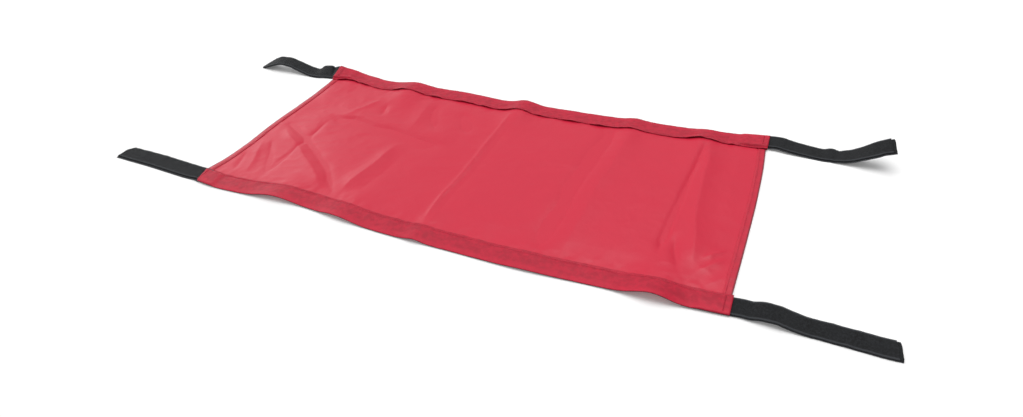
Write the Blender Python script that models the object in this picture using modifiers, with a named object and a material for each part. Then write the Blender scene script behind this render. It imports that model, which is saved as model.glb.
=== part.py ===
"""A wrap-round gait belt: a thin cloth panel with a casing along each long edge and
a pair of hook-and-loop tapes coming out of each casing mouth.

Frame: metres, +Z up. X runs along the belt (left is -X), Y from front to rear, and
the origin is the middle of the belt at the height of the surface it lies on.

The belt lies open. The cloth is one piece that is folded in half across its width,
so every piece that crosses the fold is a left and a right solid. Each tape pair
bends up where it leaves its casing, and the hook tape peels off the loop tape.
"""

import math

import bmesh
import bpy
from mathutils import Matrix, Vector

# Driving dimensions.
BELT_LENGTH = 0.760  # over the casings, mouth to mouth
BELT_DEPTH = 0.366  # over both casings
BOW = 0.014  # how far the middle of the belt lies in front of its ends
CLOTH = 0.0004  # one layer of the nylon
GAP = 0.0003  # left between pieces that touch
TAPE_WIDTH = 0.025
TAPE_PLY = 0.0013  # one tape with its hooks or loops
TIP_STEP = 0.002  # the hook tapes stop this much short of the loop tapes
ROOT_LENGTH = 0.035  # of hook tape sewn inside the casing
CASING_SLACK = 0.0012  # room for the tape between the casing's folded edge and its seam
SEAM_INSET = 0.0035  # from the casing's seam to its inner edge
HEM_WIDTH = 0.012  # of the turned-over short edges
PANEL_INSET = 0.002  # the short edges stand this far inside the casing mouths
THREAD = 0.0005
TACK_INSET = 0.007  # from the casing mouth to the row of stitches across it
FOLD_HALF_GAP = 0.0004  # from the fold line to the cloth on each side

# Heights of the layers inside a casing, from the surface up.
BELT_Z = CLOTH + GAP
HOOK_ROOT_Z = BELT_Z + TAPE_PLY + GAP
THIN_TOP_Z = HOOK_ROOT_Z  # underside of the casing's top layer over the belt alone
THICK_TOP_Z = HOOK_ROOT_Z + TAPE_PLY + GAP  # and where the hook tape is sewn in
PANEL_Z = CLOTH + GAP
HEM_TOP_Z = PANEL_Z + 2 * CLOTH + GAP
SEAM_TOP_Z = HEM_TOP_Z + GAP  # underside of the casing's top layer at its seam
FOLD_AXIS_Z = SEAM_TOP_Z + CLOTH + GAP + THREAD + GAP  # just above all that meets at the fold
TAIL_AXIS_Z = THICK_TOP_Z + CLOTH + GAP  # just above the casing's mouth

FOLD_ROOM = (THIN_TOP_Z + CLOTH) / 2  # from the casing's folded edge to its tape
CASING_DEPTH = FOLD_ROOM + TAPE_WIDTH + CASING_SLACK + SEAM_INSET

HALF = BELT_LENGTH / 2
CENTRE_Y = BOW / 2  # centres the bowed belt on the origin
PAIR = TAPE_PLY + GAP / 2  # from the middle of a pair of tapes to its outer face
EDGE_ROUND = 6  # segments round the casing's folded edge
TAIL_STATIONS = 22

SIDES = {"left": -1, "right": 1}
EDGES = {"front": -1, "rear": 1}

# Length of each loop tape outside its casing.
TAIL_LENGTHS = {
    ("front", "left"): 0.161,
    ("front", "right"): 0.161,
    ("rear", "left"): 0.170,
    ("rear", "right"): 0.164,
}

# How each tail lies: distance out from the mouth, sideways towards the rear, height
# above the surface, all in millimetres, and roll in degrees (positive lifts the rear
# edge). A smooth curve passes through the points.
TAIL_LIES = {
    ("front", "left"): [
        (0, 0, 0.7, 0), (18, 0, 0, 0), (60, 2, 0, 0), (100, 4, 0, 0), (140, 6, 0, 0), (162, 7, 0, 0),
    ],
    ("front", "right"): [
        (0, 0, 0.7, 0), (14, 0.5, 3.2, 2), (30, 0, 4, 3), (58, -1.5, 0.4, 0), (90, -1.5, 0, 0),
        (125, -1, 0, 0), (162, -0.5, 0, 0),
    ],
    ("rear", "left"): [
        (0, 0, 0.7, 0), (14, -4, 2, 6), (29, -10, 1, 4), (44, -14, 0, 0), (58, -14, 0, 0),
        (74, -13, 1, 0), (92, -10, 9, 0), (108, -7, 14.5, -2), (124, -5, 15, -4), (140, -4, 9, -4),
        (153, -3, 3, 0), (164, -3, 0, 0),
    ],
    ("rear", "right"): [
        (0, 0, 0.7, 0), (12, -1, 3, 4), (28, -6, 2.2, 3), (58, -10, 0, 0), (80, -12, 0, 0),
        (100, -12, 0, 0), (112, -12, 2.5, 0), (128, -12, 11, 0), (142, -12, 20, 0), (158, -12, 31, 0),
    ],
}

COLOURS = {
    "nylon": ((0.62, 0.05, 0.09, 1.0), 0.45),
    "tape": ((0.02, 0.021, 0.022, 1.0), 0.9),
    "thread": ((0.5, 0.03, 0.06, 1.0), 0.6),
}


def clear_scene():
    for obj in list(bpy.data.objects):
        bpy.data.objects.remove(obj, do_unlink=True)


def make_collection(name):
    collection = bpy.data.collections.new(name)
    bpy.context.scene.collection.children.link(collection)
    return collection


def make_material(name):
    colour, roughness = COLOURS[name]
    material = bpy.data.materials.new(name)
    material.use_nodes = True
    shader = material.node_tree.nodes["Principled BSDF"]
    shader.inputs["Base Color"].default_value = colour
    shader.inputs["Roughness"].default_value = roughness
    shader.inputs["Metallic"].default_value = 0.0
    return material


def make_shell(name, rows, columns, place, thickness, material):
    """A sheet of rows x columns points, each put where place(i, j) says, thickened evenly."""
    mesh = bpy.data.meshes.new(name)
    bm = bmesh.new()
    bmesh.ops.create_grid(bm, x_segments=rows - 1, y_segments=columns - 1, size=1)
    for vert in bm.verts:
        i = round((vert.co.x + 1) / 2 * (rows - 1))
        j = round((vert.co.y + 1) / 2 * (columns - 1))
        vert.co = place(i, j)
    bm.to_mesh(mesh)
    bm.free()
    mesh.materials.append(MATERIALS[material])
    obj = bpy.data.objects.new(name, mesh)
    BELT.objects.link(obj)
    solidify = obj.modifiers.new("thickness", "SOLIDIFY")
    solidify.thickness = thickness
    solidify.offset = 0
    solidify.use_even_offset = True
    return obj


def hang_on(obj, pivot):
    """Puts obj's origin on the pivot, where its joint's axis passes."""
    obj.data.transform(Matrix.Translation(-pivot))
    obj.location = pivot


def bow(x):
    """How far forward the belt lies at x: nothing at its ends, BOW in the middle."""
    return BOW * (1 - (x / HALF) ** 2)


def belt_y(x, y):
    """A straight belt's y at x, moved to where the bowed belt lies."""
    return y - bow(x) + CENTRE_Y


def stations(side, stops):
    """The x of points along half the belt, from the fold to its end."""
    return [SIDES[side] * stop for stop in stops]


def even_stops(first, last, count):
    return [first + (last - first) * i / (count - 1) for i in range(count)]


def casing_stops():
    """More points where the casing grows thicker to hold the hook tape."""
    step = HALF - ROOT_LENGTH
    return even_stops(FOLD_HALF_GAP, step - 0.012, 7) + [step - GAP, HALF]


def casing_section(x):
    """The casing's folded strip at x, as (distance from the belt's outer edge, height) of the
    middle of the cloth: along the bottom, round the folded edge, and back over the tapes."""
    thick = abs(x) > HALF - ROOT_LENGTH - GAP - 1e-6
    low = CLOTH / 2
    high = (THICK_TOP_Z if thick else THIN_TOP_Z) + CLOTH / 2
    seam_high = SEAM_TOP_Z + CLOTH / 2
    round_r = (high - low) / 2
    shoulder = FOLD_ROOM + TAPE_WIDTH
    edge = CLOTH / 2 + round_r
    points = [(CASING_DEPTH, low)]
    for k in range(EDGE_ROUND + 1):
        turn = math.pi * k / EDGE_ROUND
        points.append((edge - round_r * math.sin(turn), low + round_r - round_r * math.cos(turn)))
    return points + [(shoulder, high), (CASING_DEPTH - SEAM_INSET, seam_high), (CASING_DEPTH, seam_high)]


def make_casing(edge, side):
    xs = stations(side, casing_stops())

    def place(i, j):
        inward, height = casing_section(xs[i])[j]
        y = EDGES[edge] * (BELT_DEPTH / 2 - inward)
        return Vector((xs[i], belt_y(xs[i], y), height))

    columns = len(casing_section(0))
    return make_shell(f"{edge}_{side}_casing", len(xs), columns, place, CLOTH, "nylon")


def tape_y(edge):
    """The y of a tape's middle line, held against the casing's folded edge."""
    return EDGES[edge] * (BELT_DEPTH / 2 - FOLD_ROOM - TAPE_WIDTH / 2)


def make_tape_inside(name, edge, side, stops, underside):
    """A straight length of tape in a casing."""
    xs = stations(side, stops)

    def place(i, j):
        y = tape_y(edge) + (j - 0.5) * TAPE_WIDTH
        return Vector((xs[i], belt_y(xs[i], y), underside + TAPE_PLY / 2))

    return make_shell(name, len(xs), 2, place, TAPE_PLY, "tape")


def curve_through(points, t):
    """The point at t (0 to 1) on a smooth curve through the points (Catmull-Rom) that leaves the
    first of them straight outwards."""
    spans = len(points) - 1
    k = min(int(t * spans), spans - 1)
    u = t * spans - k
    p0, p1, p2, p3 = (points[min(max(k + n, 0), spans)] for n in (-1, 0, 1, 2))
    if k == 0:
        p0 = (-p2[0], *p2[1:])
    return [
        0.5 * (2 * b + (c - a) * u + (2 * a - 5 * b + 4 * c - d) * u**2 + (3 * b - a - 3 * c + d) * u**3)
        for a, b, c, d in zip(p0, p1, p2, p3)
    ]


def tail_frames(edge, side):
    """Points along the middle of a tape pair, each with its length so far and the directions of
    the tape's width and of its upper face. None of it goes below the surface."""
    out = SIDES[side]
    mouth = Vector((out * (HALF + GAP), belt_y(HALF, tape_y(edge)), PAIR))
    fine = 160
    raw = [curve_through(TAIL_LIES[edge, side], k / fine) for k in range(fine + 1)]
    points = [mouth + Vector((out * a, b, max(c, 0.0))) / 1000 for a, b, c, _ in raw]
    rolls = [math.radians(roll) for *_, roll in raw]
    lengths = [0.0]
    for a, b in zip(points, points[1:]):
        lengths.append(lengths[-1] + (b - a).length)
    frames = []
    for k, point in enumerate(points):
        along = (points[min(k + 1, fine)] - points[k - 1]).normalized() if k else Vector((out, 0, 0))
        level = Vector((0, 0, 1)).cross(along).normalized() * out
        up = (along.cross(level) * out).normalized()
        width = level * math.cos(rolls[k]) + up * math.sin(rolls[k])
        up = (along.cross(width) * out).normalized()
        under = point.z - up.z * PAIR - abs(width.z) * TAPE_WIDTH / 2
        frames.append((lengths[k], point - Vector((0, 0, min(under, 0))), width, up))
    return frames


def frame_at(frames, distance):
    """The frame at a distance along the tape, between the two nearest."""
    for (s0, p0, w0, u0), (s1, p1, w1, u1) in zip(frames, frames[1:]):
        if s1 >= distance:
            f = (distance - s0) / (s1 - s0)
            return p0.lerp(p1, f), w0.lerp(w1, f).normalized(), u0.lerp(u1, f).normalized()
    s1, p1, w1, u1 = frames[-1]
    return p1 + (p1 - frames[-2][1]).normalized() * (distance - s1), w1, u1


def make_tail(name, edge, side, lift, short):
    """One tape of a pair. lift is from the middle of the pair to the middle of this tape, which
    stops short of the pair's tip."""
    frames = tail_frames(edge, side)
    distances = even_stops(0, TAIL_LENGTHS[edge, side] - GAP, TAIL_STATIONS)
    distances[-1] -= short

    def place(i, j):
        point, width, up = frame_at(frames, distances[i])
        return point + up * lift + width * (j - 0.5) * TAPE_WIDTH

    tail = make_shell(name, TAIL_STATIONS, 2, place, TAPE_PLY, "tape")
    hang_on(tail, Vector((SIDES[side] * HALF, belt_y(HALF, tape_y(edge)), TAIL_AXIS_Z)))
    return tail


def make_panel(side):
    """Half the panel cloth, with its short edge turned over into a hem."""
    xs = stations(side, even_stops(FOLD_HALF_GAP, HALF - PANEL_INSET, 8))
    inside = stations(side, [HALF - PANEL_INSET, HALF - PANEL_INSET - HEM_WIDTH])
    profile = [(x, PANEL_Z + CLOTH / 2) for x in xs]
    profile += [(x, HEM_TOP_Z - CLOTH / 2) for x in inside]
    half_depth = BELT_DEPTH / 2 - FOLD_ROOM - TAPE_WIDTH - GAP

    def place(i, j):
        x, z = profile[i]
        return Vector((x, belt_y(x, (2 * j - 1) * half_depth), z))

    return make_shell(f"{side}_panel_cloth", len(profile), 2, place, CLOTH, "nylon")


def make_thread(name, points):
    """A line of stitches, as the ridge its thread makes on the cloth. points are its middle line."""
    along = (points[-1] - points[0]).normalized()
    across = Vector((0, 0, 1)).cross(along) * THREAD / 2

    def place(i, j):
        return points[i] + across * (2 * j - 1)

    return make_shell(name, len(points), 2, place, THREAD, "thread")


def make_casing_seam(edge, side):
    y = EDGES[edge] * (BELT_DEPTH / 2 - CASING_DEPTH + SEAM_INSET / 2)
    z = SEAM_TOP_Z + CLOTH + GAP + THREAD / 2
    xs = stations(side, even_stops(2 * FOLD_HALF_GAP, HALF - 2 * GAP, 7))
    make_thread(f"{edge}_{side}_casing_seam", [Vector((x, belt_y(x, y), z)) for x in xs])


def make_hem_seam(side):
    x = SIDES[side] * (HALF - PANEL_INSET - HEM_WIDTH + SEAM_INSET)
    reach = BELT_DEPTH / 2 - CASING_DEPTH - 2 * GAP
    z = HEM_TOP_Z + GAP + THREAD / 2
    make_thread(f"{side}_hem_seam", [Vector((x, belt_y(x, y), z)) for y in (-reach, reach)])


def make_end_tack(edge, side):
    x = SIDES[side] * (HALF - TACK_INSET)
    z = THICK_TOP_Z + CLOTH + GAP + THREAD / 2
    middle, reach = tape_y(edge), TAPE_WIDTH / 2 - 2 * GAP
    make_thread(
        f"{edge}_{side}_end_tack",
        [Vector((x, belt_y(x, middle + step), z)) for step in (-reach, reach)],
    )


def make_corner(edge, side):
    """Everything at one corner of the belt: its half of the casing and the tapes."""
    corner = f"{edge}_{side}"
    belt_stops = even_stops(2 * FOLD_HALF_GAP, HALF, 8)
    root_stops = [HALF - ROOT_LENGTH + GAP, HALF]
    lift = (TAPE_PLY + GAP) / 2
    make_casing(edge, side)
    make_tape_inside(f"{corner}_loop_belt", edge, side, belt_stops, BELT_Z)
    make_tape_inside(f"{corner}_hook_root", edge, side, root_stops, HOOK_ROOT_Z)
    make_casing_seam(edge, side)
    make_end_tack(edge, side)
    loop_tail = make_tail(f"{corner}_loop_tail", edge, side, -lift, 0)
    hook_tail = make_tail(f"{corner}_hook_tail", edge, side, lift, TIP_STEP)
    hook_tail.parent = loop_tail
    hook_tail.matrix_parent_inverse = Matrix.Translation(-loop_tail.location)


def make_half(side):
    make_panel(side)
    make_hem_seam(side)
    for edge in EDGES:
        make_corner(edge, side)


def hang_on_fold_axis(pieces):
    """The right half turns about the fold line, so its pieces hang on an empty that lies there."""
    axis = bpy.data.objects.new("fold_axis", None)
    axis.location.z = FOLD_AXIS_Z
    BELT.objects.link(axis)
    for piece in pieces:
        piece.parent = axis
        piece.matrix_parent_inverse = Matrix.Translation(-axis.location)


clear_scene()
BELT = make_collection("gait_belt")
MATERIALS = {name: make_material(name) for name in COLOURS}
make_half("left")
left_half = set(BELT.objects)
make_half("right")
hang_on_fold_axis(obj for obj in set(BELT.objects) - left_half if not obj.parent)
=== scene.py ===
# %% [markdown]
# # A wrap-round gait belt
# The belt is a thin red nylon panel. A folded strip of the same cloth, the casing, runs along
# each long edge. A black loop tape runs through each casing and out of both ends, where a hook
# tape is pressed onto it. The belt lies open on a pale floor, still marked by the folds of its
# packing. Everything soft is built here, on top of the plain solids that the frame brings.

# %% Load the frame
import math

import bmesh
import bpy
import numpy as np
from mathutils import Matrix, Vector, noise


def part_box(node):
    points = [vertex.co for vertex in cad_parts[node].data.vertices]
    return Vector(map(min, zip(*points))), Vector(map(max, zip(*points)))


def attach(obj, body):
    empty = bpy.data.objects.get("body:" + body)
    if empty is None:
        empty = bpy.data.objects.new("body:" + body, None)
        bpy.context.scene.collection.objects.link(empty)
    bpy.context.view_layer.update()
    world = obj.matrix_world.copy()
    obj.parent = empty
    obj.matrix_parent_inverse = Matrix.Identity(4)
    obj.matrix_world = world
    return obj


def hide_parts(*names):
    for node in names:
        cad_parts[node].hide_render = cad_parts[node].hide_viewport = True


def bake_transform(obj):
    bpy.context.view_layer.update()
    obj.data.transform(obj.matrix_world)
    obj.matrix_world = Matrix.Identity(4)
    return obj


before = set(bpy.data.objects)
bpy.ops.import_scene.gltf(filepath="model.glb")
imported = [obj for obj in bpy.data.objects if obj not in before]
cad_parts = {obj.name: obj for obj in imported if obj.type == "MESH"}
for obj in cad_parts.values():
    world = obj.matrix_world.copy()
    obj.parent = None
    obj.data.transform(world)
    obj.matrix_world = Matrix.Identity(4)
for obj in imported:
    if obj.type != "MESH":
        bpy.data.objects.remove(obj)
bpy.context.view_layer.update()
MM = 0.001

# %% [markdown]
# ## Sizes
# The frame's own solids say how long the casings are, so the looks and the solids fit each
# other. The rest are facts of the cloth and tape, in millimetres.

# %% Sizes from the frame
_, casing_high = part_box("front_right_casing")
HALF = casing_high.x  # from the middle of the belt to a casing's mouth
HALF_DEPTH = 183 * MM  # across the belt, from its middle line to a folded edge
TAPE_WIDTH = 25 * MM
CASING = 31 * MM  # from a folded edge to the casing's inner edge
HEM = 10 * MM  # turned over at each short edge
CLOTH = 0.3 * MM  # drawn a little thicker than the real 0.2 mm
PLY = 0.7 * MM  # the woven base of a tape, without its hooks or loops
PILE = 1.2 * MM  # hooks and loops pressed together
SIDES = {"left": -1, "right": 1}
EDGES = {"front": -1, "rear": 1}
print("half length", round(HALF / MM, 1), "mm, tape", round(TAPE_WIDTH / MM, 1), "mm wide")

# %% [markdown]
# ## How the cloth lies
# Real cloth never lies as flat as it was cut. Each long edge wanders a little in plan and rises
# where a packing fold crosses it. A cloth simulation could drop the belt on the floor, but it
# would not put each fold where the packing left it. So one function, `lay`, says where a point
# of the flat belt ends up. The panel, casings, seams and tapes all ask it, so they stay together
# like sewn pieces.

# %% A smooth curve through a few points
def smooth_through(points, x):
    """The height of a smooth curve at x, an array. points are (x, height), left to right."""
    px, py = np.array(points, float).T
    slope = np.gradient(py, px)
    x = np.clip(x, px[0], px[-1])
    k = np.clip(np.searchsorted(px, x) - 1, 0, len(px) - 2)
    width = px[k + 1] - px[k]
    u = (x - px[k]) / width
    start = (1 + 2 * u) * (1 - u) ** 2 * py[k] + u * (1 - u) ** 2 * width * slope[k]
    return start + u * u * (3 - 2 * u) * py[k + 1] - u * u * (1 - u) * width * slope[k + 1]


# Plan of the two folded edges, in mm: along the belt, and where the edge lies.
EDGE_LINES = {
    "front": [
        (-380, -182), (-345, -186.5), (-285, -186), (-225, -182), (-180, -181), (-140, -184),
        (-110, -187), (-50, -190.5), (50, -191), (140, -191.5), (245, -186), (310, -185),
        (345, -182), (380, -179.5),
    ],
    "rear": [
        (-380, 177), (-335, 183), (-300, 180), (-268, 174.5), (-230, 175.5), (-165, 177),
        (-80, 175.5), (-50, 172.5), (50, 173), (120, 173.5), (212, 176.5), (300, 179),
        (340, 183), (380, 183.5),
    ],
}

# Where a packing fold or a stiff tape lifts an edge: centre, half width, and the lift at the
# folded edge and at the casing's inner edge, in mm.
EDGE_LIFTS = {
    "front": [
        (-225, 34, 7, 3), (-115, 28, 5, 2.5), (3, 14, 3.5, 2.5), (150, 30, 1.5, 1.5),
        (298, 26, 11, 5),
    ],
    "rear": [
        (-388, 40, 15, 0.5), (-332, 16, 1, 2), (-205, 26, 5, 7), (5, 20, 6.5, 7.5),
        (187, 18, 3.5, 4), (294, 20, 2.5, 6), (388, 36, 4, 1),
    ],
}
print("the front edge has", len(EDGE_LIFTS["front"]), "lifts, the rear edge", len(EDGE_LIFTS["rear"]))

# %% [markdown]
# ### Creases
# The belt was packed folded, five folds across and one along. A fold leaves a ridge or a valley,
# and the bent tape at the left end pulls long diagonal folds out of the corner. Each crease is a
# short path with a height and a width. A valley has a negative height, and a step is higher on
# the left of its path than on its right. They bend the mesh itself, not just its shading, so
# they show from every side and throw shadows.

# %% The creases of the panel, in mm
CREASES = [
    # name, shape, height, width, and a path of places as (along the belt, across it)
    ("fold across, far left", "bump", -1.4, 5, [(-283, 40), (-281, -20), (-280, -150)]),
    ("fold across, left, front part", "bump", 3.2, 12, [(-134, 8), (-139, -60), (-148, -150)]),
    ("valley right of it", "bump", -0.5, 9, [(-112, -20), (-118, -90), (-124, -150)]),
    ("fold across, left, rear part", "bump", 1.6, 12, [(-152, 150), (-146, 90), (-138, 30)]),
    ("fold across the middle", "bump", 1.5, 4, [(-2, 160), (-6, 60), (-6, -60), (-4, -165)]),
    ("valley right of the middle", "bump", -0.5, 8, [(9, 120), (6, 0), (8, -150)]),
    ("fold across, right", "bump", -4.2, 12, [(168, 165), (156, 70), (152, 0), (152, -165)]),
    ("swell beside it", "bump", 1.6, 18, [(190, 160), (184, 20), (182, -165)]),
    ("fold across, far right", "bump", -3.2, 5.5, [(300, 165), (293, 20), (287, -120)]),
    ("swell beside that", "bump", 3.4, 18, [(306, 150), (316, -20), (334, -130)]),
    ("dark streak in front of it", "bump", -2.0, 6, [(300, -60), (307, -100), (318, -140)]),
    (
        "fold along", "step", 2.0, 5,
        [(-300, 44), (-245, 49), (-200, 39), (-145, 35), (-100, 27), (-55, 18)],
    ),
    ("fold along, right", "step", 0.8, 8, [(60, 20), (100, 28), (150, 34)]),
    (
        "corner pull", "bump", -3.2, 7,
        [(-356, 5), (-290, -28), (-240, -63), (-200, -98), (-148, -150)],
    ),
    ("swell in front of it", "bump", 3.0, 9, [(-340, -20), (-262, -70), (-205, -117), (-168, -152)]),
    ("second pull", "bump", -1.5, 5, [(-345, -40), (-300, -100), (-272, -150)]),
    ("swell in front of that", "bump", 1.7, 7, [(-352, -52), (-322, -110), (-304, -152)]),
    ("third pull", "bump", -1.2, 5, [(-354, -84), (-338, -125), (-330, -152)]),
    ("rear pull", "bump", -2.6, 12, [(-143, 140), (-118, 85), (-97, 45)]),
    ("rear pull, right of it", "bump", -2.2, 13, [(-88, 130), (-64, 95), (-38, 62)]),
    ("rear pull, left of it", "bump", -1.8, 7, [(-222, 110), (-212, 85), (-203, 60)]),
    ("swell at the rear", "bump", 1.6, 8, [(-246, 135), (-240, 110), (-262, 60), (-280, 48)]),
    ("corner wrinkle", "bump", 1.5, 4, [(336, -110), (352, -92), (366, -78)]),
    ("corner wrinkle, front of it", "bump", 1.6, 5, [(330, -134), (352, -112), (372, -92)]),
    ("corner wrinkle, last", "bump", 1.5, 5, [(346, -148), (362, -134), (374, -120)]),
]


LONGEST_FADE = 45  # mm over which a long crease dies away
CRUMPLE = 0.9  # mm, the height of the small folds


def crumple(x, y):
    """Small sharp folds everywhere, about -1 to 1. They are stronger towards the left end and
    in the front right corner. The folded-over noise gives creases that are sharp on one side."""
    large = 0.4 - np.abs(noise_at(x, y, 44, 12.5))
    small = 0.4 - np.abs(noise_at(x, 1.3 * y, 19, 14.5))
    corner = np.exp(-(((x - 320) / 60) ** 2) - ((y + 120) / 50) ** 2)
    return (large + 0.5 * small) * (0.5 + 0.8 * np.clip((-x - 120) / 160, 0, 1) + 0.9 * corner)


def crease_height(x, y, shape, height, width, path):
    """What one crease adds at the points x, y (all in mm). It fades out at the path's ends."""
    best = np.full(x.shape, np.inf)
    side = np.zeros(x.shape)
    along = np.zeros(x.shape)
    run = 0.0
    for (ax, ay), (bx, by) in zip(path, path[1:]):
        dx, dy = bx - ax, by - ay
        length = math.hypot(dx, dy)
        t = ((x - ax) * dx + (y - ay) * dy) / length**2
        clipped = np.clip(t, 0, 1)
        distance = np.hypot(x - ax - clipped * dx, y - ay - clipped * dy)
        nearer = distance < best
        best = np.where(nearer, distance, best)
        side = np.where(nearer, ((y - ay) * dx - (x - ax) * dy) / length, side)
        along = np.where(nearer, run + clipped * length, along)
        run += length
    fade = np.clip(np.minimum(along, run - along) / min(LONGEST_FADE, run / 2.5), 0, 1)
    fade = fade * fade * (3 - 2 * fade)
    if shape == "step":
        return height * fade * np.tanh(side / width) * np.exp(-((best / (6 * width)) ** 2))
    crest = np.exp(-(np.hypot(best, 0.9) - 0.9) / (0.62 * width))
    return height * fade * (0.6 * crest + 0.4 * np.exp(-((best / width) ** 2)))


print(len(CREASES), "creases")

# %% Where a point of the flat belt lies
def noise_at(x, y, scale, seed):
    """Smooth noise, -1 to 1, with features about scale mm long."""
    places = zip(x.ravel(), y.ravel())
    flat = [noise.noise(Vector((a / scale, b / scale, seed))) for a, b in places]
    return np.array(flat).reshape(x.shape)


def edge_weights(across):
    """How much of the front and rear casings' lifts reaches a point, at the folded edge and at
    the inner edge. across is in mm from the belt's middle line."""
    weights = {}
    inner = (HALF_DEPTH - CASING) / MM
    for edge, sign in EDGES.items():
        depth = sign * across
        outer = np.clip((depth - inner) / (CASING / MM), 0, 1)
        near = np.exp(-(np.clip(inner - depth, 0, None) / 42) ** 1.5)
        weights[edge] = (outer, near * (1 - outer))
    return weights


def edge_lift(edge, along, painted_fold_shade):
    """Lift of an edge at each place along the belt, in mm."""
    total = np.zeros(along.shape)
    for centre, width, fold_lift, inner_lift in EDGE_LIFTS[edge]:
        lift = fold_lift if painted_fold_shade else inner_lift
        total += lift * np.exp(-(((along - centre) / width) ** 2))
    return total


LOWEST, RESTING = 0.2, 0.35  # mm between the floor and the cloth's underside
# How uneven the cloth is where nothing creases it: rise and size in mm, and a seed.
UNDULATIONS = {
    "swell": (0.7, 70, 3.1), "wave": (0.25, 24, 8.4), "pucker": (0.5, 9, 7.7), "ripple": (0.35, 16, 5.7),
}


def height_of(along, across):
    """Height of the cloth's underside over the floor, in mm, at places of the flat belt.

    inside fades the panel's own height to nothing at its casings, and reach lets a crease run
    on a little into them. Both end where the casings' mouths are.
    """
    weights = edge_weights(across)
    height = RESTING + np.zeros(along.shape)
    inner = (HALF_DEPTH - CASING) / MM
    ends = np.clip((378 - np.abs(along)) / 30, 0, 1)
    inside = np.clip((inner - np.abs(across)) / 32, 0, 1) * ends
    reach = np.clip((HALF_DEPTH / MM - np.abs(across)) / 80, 0, 1)
    reach = reach * reach * (3 - 2 * reach) * ends
    for edge in EDGES:
        outer, near = weights[edge]
        height += outer * edge_lift(edge, along, True) + near * edge_lift(edge, along, False)
    panel = 1.0 * inside
    lie_x = along + 3 * noise_at(along, across, 52, 21.5)
    lie_y = across + 3 * noise_at(along, across, 52, 31.5)
    for _, shape, crease, width, path in CREASES:
        panel += crease_height(lie_x, lie_y, shape, crease, width, path) * reach
    panel += CRUMPLE * crumple(along, across) * reach
    by_seam = np.exp(-(((np.abs(across) - inner + 4) / 12) ** 2)) * ends
    shares = {"swell": inside, "wave": inside, "pucker": by_seam, "ripple": 1 - inside}
    for name, (rise, size, seed) in UNDULATIONS.items():
        panel += rise * noise_at(along, across, size, seed) * shares[name]
    return np.maximum(height + panel, LOWEST)


def plan_y(along, across):
    """Where a place of the flat belt lies from front to rear, in mm."""
    half, casing = HALF_DEPTH / MM, CASING / MM
    front = smooth_through(EDGE_LINES["front"], along)
    rear = smooth_through(EDGE_LINES["rear"], along)
    share = np.clip((across + half - casing) / (2 * (half - casing)), 0, 1)
    middle = front + casing + share * (rear - front - 2 * casing)
    from_front = front + (across + half)
    from_rear = rear - (half - across)
    y = np.where(across < casing - half, from_front, middle)
    return np.where(across > half - casing, from_rear, y)


def lay(along, across, off=0.0):
    """Points of the laid belt, in metres: along and across the flat belt in mm, and off, the
    distance above the cloth's underside in mm."""
    along, across = np.broadcast_arrays(np.asarray(along, float), np.asarray(across, float))
    step = 0.6  # mm, to measure the slope
    z = height_of(along, across)
    slope_x = (height_of(along + step, across) - z) / step
    slope_y = (height_of(along, across + step) - z) / step
    normal = np.stack([-slope_x, -slope_y, np.ones(z.shape)], -1)
    normal /= np.linalg.norm(normal, axis=-1, keepdims=True)
    points = np.stack([along, plan_y(along, across), z], -1)
    return (points + normal * np.asarray(off)[..., None]) * MM


middle = lay(np.array([0.0]), np.array([0.0]))[0] / MM
print("the middle of the cloth lies at", middle.round(1), "mm")

# %% [markdown]
# ## Meshes from grids
# Cloth and tape are both sheets, so one helper turns a grid of points into a mesh, and a Solidify
# modifier gives it its real thickness. The grid's rows run along the belt.

# %% Helpers that make objects
def new_piece(name, mesh, material):
    mesh.materials.append(material)
    mesh.shade_smooth()
    piece = bpy.data.objects.new(name, mesh)
    bpy.context.scene.collection.objects.link(piece)
    return piece


def grid_mesh(name, points):
    """A mesh of quads from points[i, j], an array of rows, columns and 3."""
    rows, columns, _ = points.shape
    index = np.arange(rows * columns).reshape(rows, columns)
    corners = [index[:-1, :-1], index[1:, :-1], index[1:, 1:], index[:-1, 1:]]
    quads = np.stack(corners, -1).reshape(-1, 4)
    mesh = bpy.data.meshes.new(name)
    mesh.from_pydata(points.reshape(-1, 3).tolist(), [], quads.tolist())
    mesh.update()
    return mesh


def thicken(piece, thickness):
    solidify = piece.modifiers.new("cloth thickness", "SOLIDIFY")
    solidify.thickness = thickness
    solidify.offset = 0


def mark(mesh, name, values):
    """Stores a number on each point, for the material to read."""
    attribute = mesh.attributes.new(name, "FLOAT", "POINT")
    attribute.data.foreach_set("value", np.asarray(values, np.float32).ravel())


NEARLY_UP = Vector((0.13, 0.21, 1))  # never in line with a thread


def tube_mesh(name, paths, radius, sides=6):
    """Many short closed tubes in one mesh. paths are arrays of points, in metres."""
    verts, faces = [], []
    for path in paths:
        start = len(verts)
        for k, point in enumerate(path):
            ahead = path[min(k + 1, len(path) - 1)] - path[max(k - 1, 0)]
            ahead = Vector(ahead).normalized()
            across = ahead.cross(NEARLY_UP).normalized()
            up = across.cross(ahead)
            taper = 0.55 if k in (0, len(path) - 1) else 1.0
            for s in range(sides):
                turn = 2 * math.pi * s / sides
                ring = across * math.cos(turn) + up * math.sin(turn)
                verts.append(Vector(point) + ring * radius * taper)
        for k in range(len(path) - 1):
            for s in range(sides):
                a, b = start + k * sides + s, start + k * sides + (s + 1) % sides
                faces.append((a, b, b + sides, a + sides))
        faces.append([start + s for s in reversed(range(sides))])
        faces.append([start + (len(path) - 1) * sides + s for s in range(sides)])
    mesh = bpy.data.meshes.new(name)
    mesh.from_pydata([tuple(v) for v in verts], [], faces)
    mesh.update()
    return mesh


print("helpers ready")

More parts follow.
